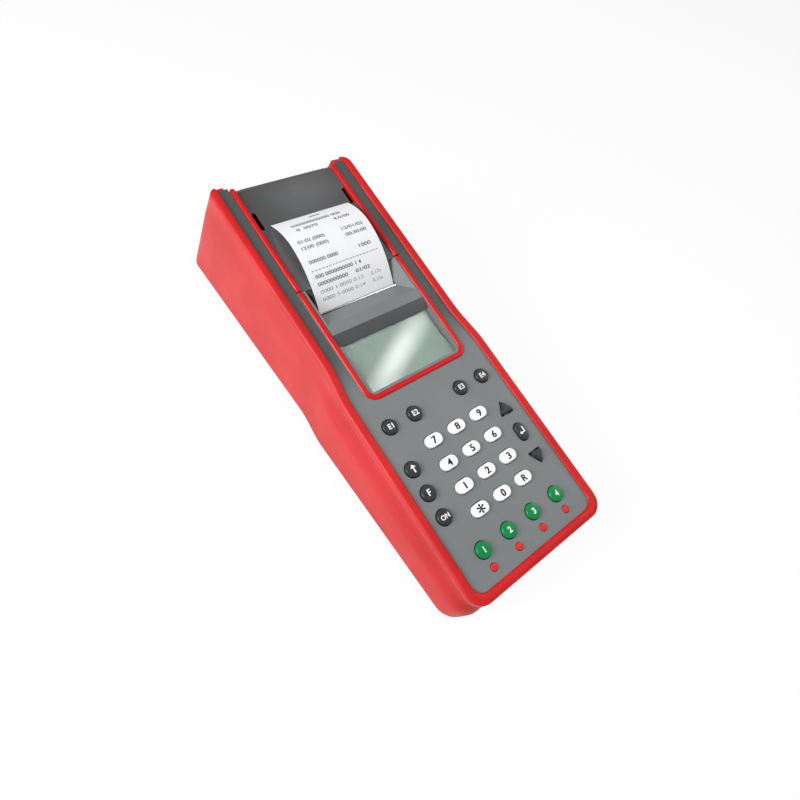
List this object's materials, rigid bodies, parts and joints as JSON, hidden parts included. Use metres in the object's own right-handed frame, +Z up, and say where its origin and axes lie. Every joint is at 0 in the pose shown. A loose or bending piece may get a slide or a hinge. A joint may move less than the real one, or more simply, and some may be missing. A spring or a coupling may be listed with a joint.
{
  "type": "hand-held timing printer",
  "caption": "Hand-held sports timing terminal in a red rubber sleeve, with number pad, function keys, small display and a thermal printer under a hinged lid.",
  "frame": {"origin": "on the floor, under the middle of the bounding box", "axes": "+Z up, +Y from the number keys to the printer, +X to the user's right"},
  "size_m": [0.1142, 0.308, 0.0801],
  "materials": {
    "red_rubber": "satin",
    "red_plastic": "satin",
    "grey_case": "fine texture",
    "dark_case": "fine texture",
    "smoked_lid": "glossy",
    "clear_window": "glossy",
    "lcd": "satin",
    "board_green": "satin",
    "grey_silicone": "satin",
    "steel": "brushed",
    "black_plastic": "satin",
    "black_rubber": "matte",
    "gear_nylon": "satin",
    "brass": "satin",
    "paper": "matte",
    "cell_wrap": "glossy",
    "white_key": "satin",
    "dark_key": "satin",
    "green_key": "satin",
    "red_key": "satin"
  },
  "bodies": {
    "case": {"rubber_sleeve": "red_rubber", "upper_case": "grey_case", "lower_case": "dark_case", "case_screws": "steel", "display_trim": "red_plastic", "display_window": "clear_window", "lcd_module": "lcd", "main_board": "board_green", "keypad_mat": "grey_silicone", "printer_bezel": "grey_case", "tear_bar": "steel", "printer_frame": "steel", "print_head": "black_plastic", "head_springs": "steel", "feed_motor": "steel", "roll_spindle": "black_plastic", "paper_web": "paper", "lid_hinge_pin": "steel", "battery_cells": "cell_wrap", "battery_contacts": "steel", "rear_sockets": "black_plastic"},
    "platen": {"platen_roller": "black_rubber", "platen_gear": "gear_nylon"},
    "idler": {"idler_gear": "gear_nylon"},
    "pinion": {"motor_pinion": "brass"},
    "roll": {"paper_roll": "paper"},
    "lid": {"printer_lid": "smoked_lid", "lid_trim": "red_plastic", "paper_strip": "paper"},
    "battery_cover": {"battery_door": "dark_case"},
    "key_7": {"key_7": "white_key"},
    "key_8": {"key_8": "white_key"},
    "key_9": {"key_9": "white_key"},
    "key_4": {"key_4": "white_key"},
    "key_5": {"key_5": "white_key"},
    "key_6": {"key_6": "white_key"},
    "key_1": {"key_1": "white_key"},
    "key_2": {"key_2": "white_key"},
    "key_3": {"key_3": "white_key"},
    "key_star": {"key_star": "white_key"},
    "key_0": {"key_0": "white_key"},
    "key_r": {"key_r": "white_key"},
    "key_e1": {"key_e1": "dark_key"},
    "key_e2": {"key_e2": "dark_key"},
    "key_e3": {"key_e3": "dark_key"},
    "key_e4": {"key_e4": "dark_key"},
    "key_up": {"key_up": "dark_key"},
    "key_f": {"key_f": "dark_key"},
    "key_on": {"key_on": "dark_key"},
    "key_triangle_up": {"key_triangle_up": "dark_key"},
    "key_enter": {"key_enter": "dark_key"},
    "key_triangle_down": {"key_triangle_down": "dark_key"},
    "start_key_1": {"start_key_1": "green_key"},
    "start_key_2": {"start_key_2": "green_key"},
    "start_key_3": {"start_key_3": "green_key"},
    "start_key_4": {"start_key_4": "green_key"},
    "lock_key_1": {"lock_key_1": "red_key"},
    "lock_key_2": {"lock_key_2": "red_key"},
    "lock_key_3": {"lock_key_3": "red_key"},
    "lock_key_4": {"lock_key_4": "red_key"}
  },
  "joints": [
    {"name": "lid_hinge", "type": "hinge", "parent": "case", "child": "lid", "pos_m": [0, 0.12553, 0.07301], "axis": [-1, 0, 0], "range_deg": [0, 80]},
    {"name": "platen_spin", "type": "hinge", "parent": "case", "child": "platen", "pos_m": [0, 0.04285, 0.04832], "axis": [1, 0, 0], "continuous": true},
    {"name": "idler_spin", "type": "hinge", "parent": "case", "child": "idler", "pos_m": [0, 0.04944, 0.03418], "axis": [1, 0, 0], "continuous": true},
    {"name": "pinion_spin", "type": "hinge", "parent": "case", "child": "pinion", "pos_m": [0, 0.0444, 0.02329], "axis": [1, 0, 0], "continuous": true},
    {"name": "roll_spin", "type": "hinge", "parent": "case", "child": "roll", "pos_m": [0, 0.08194, 0.03469], "axis": [1, 0, 0], "continuous": true},
    {"name": "battery_door_slide", "type": "slide", "parent": "case", "child": "battery_cover", "axis": [0, -1, 0], "range_m": [0, 0.008]},
    {"name": "key_7_press", "type": "slide", "parent": "case", "child": "key_7", "axis": [0, 0.1409, -0.99], "range_m": [0, 0.0012], "stiffness_N_per_m": 800},
    {"name": "key_8_press", "type": "slide", "parent": "case", "child": "key_8", "axis": [0, 0.1409, -0.99], "range_m": [0, 0.0012], "stiffness_N_per_m": 800},
    {"name": "key_9_press", "type": "slide", "parent": "case", "child": "key_9", "axis": [0, 0.1409, -0.99], "range_m": [0, 0.0012], "stiffness_N_per_m": 800},
    {"name": "key_4_press", "type": "slide", "parent": "case", "child": "key_4", "axis": [0, 0.1409, -0.99], "range_m": [0, 0.0012], "stiffness_N_per_m": 800},
    {"name": "key_5_press", "type": "slide", "parent": "case", "child": "key_5", "axis": [0, 0.1409, -0.99], "range_m": [0, 0.0012], "stiffness_N_per_m": 800},
    {"name": "key_6_press", "type": "slide", "parent": "case", "child": "key_6", "axis": [0, 0.1409, -0.99], "range_m": [0, 0.0012], "stiffness_N_per_m": 800},
    {"name": "key_1_press", "type": "slide", "parent": "case", "child": "key_1", "axis": [0, 0.1409, -0.99], "range_m": [0, 0.0012], "stiffness_N_per_m": 800},
    {"name": "key_2_press", "type": "slide", "parent": "case", "child": "key_2", "axis": [0, 0.1409, -0.99], "range_m": [0, 0.0012], "stiffness_N_per_m": 800},
    {"name": "key_3_press", "type": "slide", "parent": "case", "child": "key_3", "axis": [0, 0.1409, -0.99], "range_m": [0, 0.0012], "stiffness_N_per_m": 800},
    {"name": "key_star_press", "type": "slide", "parent": "case", "child": "key_star", "axis": [0, 0.1409, -0.99], "range_m": [0, 0.0012], "stiffness_N_per_m": 800},
    {"name": "key_0_press", "type": "slide", "parent": "case", "child": "key_0", "axis": [0, 0.1409, -0.99], "range_m": [0, 0.0012], "stiffness_N_per_m": 800},
    {"name": "key_r_press", "type": "slide", "parent": "case", "child": "key_r", "axis": [0, 0.1409, -0.99], "range_m": [0, 0.0012], "stiffness_N_per_m": 800},
    {"name": "key_e1_press", "type": "slide", "parent": "case", "child": "key_e1", "axis": [0, 0.1409, -0.99], "range_m": [0, 0.0012], "stiffness_N_per_m": 800},
    {"name": "key_e2_press", "type": "slide", "parent": "case", "child": "key_e2", "axis": [0, 0.1409, -0.99], "range_m": [0, 0.0012], "stiffness_N_per_m": 800},
    {"name": "key_e3_press", "type": "slide", "parent": "case", "child": "key_e3", "axis": [0, 0.1409, -0.99], "range_m": [0, 0.0012], "stiffness_N_per_m": 800},
    {"name": "key_e4_press", "type": "slide", "parent": "case", "child": "key_e4", "axis": [0, 0.1409, -0.99], "range_m": [0, 0.0012], "stiffness_N_per_m": 800},
    {"name": "key_up_press", "type": "slide", "parent": "case", "child": "key_up", "axis": [0, 0.1409, -0.99], "range_m": [0, 0.0012], "stiffness_N_per_m": 800},
    {"name": "key_f_press", "type": "slide", "parent": "case", "child": "key_f", "axis": [0, 0.1409, -0.99], "range_m": [0, 0.0012], "stiffness_N_per_m": 800},
    {"name": "key_on_press", "type": "slide", "parent": "case", "child": "key_on", "axis": [0, 0.1409, -0.99], "range_m": [0, 0.0012], "stiffness_N_per_m": 800},
    {"name": "key_triangle_up_press", "type": "slide", "parent": "case", "child": "key_triangle_up", "axis": [0, 0.1409, -0.99], "range_m": [0, 0.0012], "stiffness_N_per_m": 800},
    {"name": "key_enter_press", "type": "slide", "parent": "case", "child": "key_enter", "axis": [0, 0.1409, -0.99], "range_m": [0, 0.0012], "stiffness_N_per_m": 800},
    {"name": "key_triangle_down_press", "type": "slide", "parent": "case", "child": "key_triangle_down", "axis": [0, 0.1409, -0.99], "range_m": [0, 0.0012], "stiffness_N_per_m": 800},
    {"name": "start_key_1_press", "type": "slide", "parent": "case", "child": "start_key_1", "axis": [0, 0.1409, -0.99], "range_m": [0, 0.0012], "stiffness_N_per_m": 800},
    {"name": "start_key_2_press", "type": "slide", "parent": "case", "child": "start_key_2", "axis": [0, 0.1409, -0.99], "range_m": [0, 0.0012], "stiffness_N_per_m": 800},
    {"name": "start_key_3_press", "type": "slide", "parent": "case", "child": "start_key_3", "axis": [0, 0.1409, -0.99], "range_m": [0, 0.0012], "stiffness_N_per_m": 800},
    {"name": "start_key_4_press", "type": "slide", "parent": "case", "child": "start_key_4", "axis": [0, 0.1409, -0.99], "range_m": [0, 0.0012], "stiffness_N_per_m": 800},
    {"name": "lock_key_1_press", "type": "slide", "parent": "case", "child": "lock_key_1", "axis": [0, 0.1409, -0.99], "range_m": [0, 0.0008], "stiffness_N_per_m": 800},
    {"name": "lock_key_2_press", "type": "slide", "parent": "case", "child": "lock_key_2", "axis": [0, 0.1409, -0.99], "range_m": [0, 0.0008], "stiffness_N_per_m": 800},
    {"name": "lock_key_3_press", "type": "slide", "parent": "case", "child": "lock_key_3", "axis": [0, 0.1409, -0.99], "range_m": [0, 0.0008], "stiffness_N_per_m": 800},
    {"name": "lock_key_4_press", "type": "slide", "parent": "case", "child": "lock_key_4", "axis": [0, 0.1409, -0.99], "range_m": [0, 0.0008], "stiffness_N_per_m": 800}
  ],
  "couplings": [
    {"joint": "idler_spin", "follows": "platen_spin", "ratio": -1},
    {"joint": "pinion_spin", "follows": "platen_spin", "ratio": 1.8571}
  ]
}
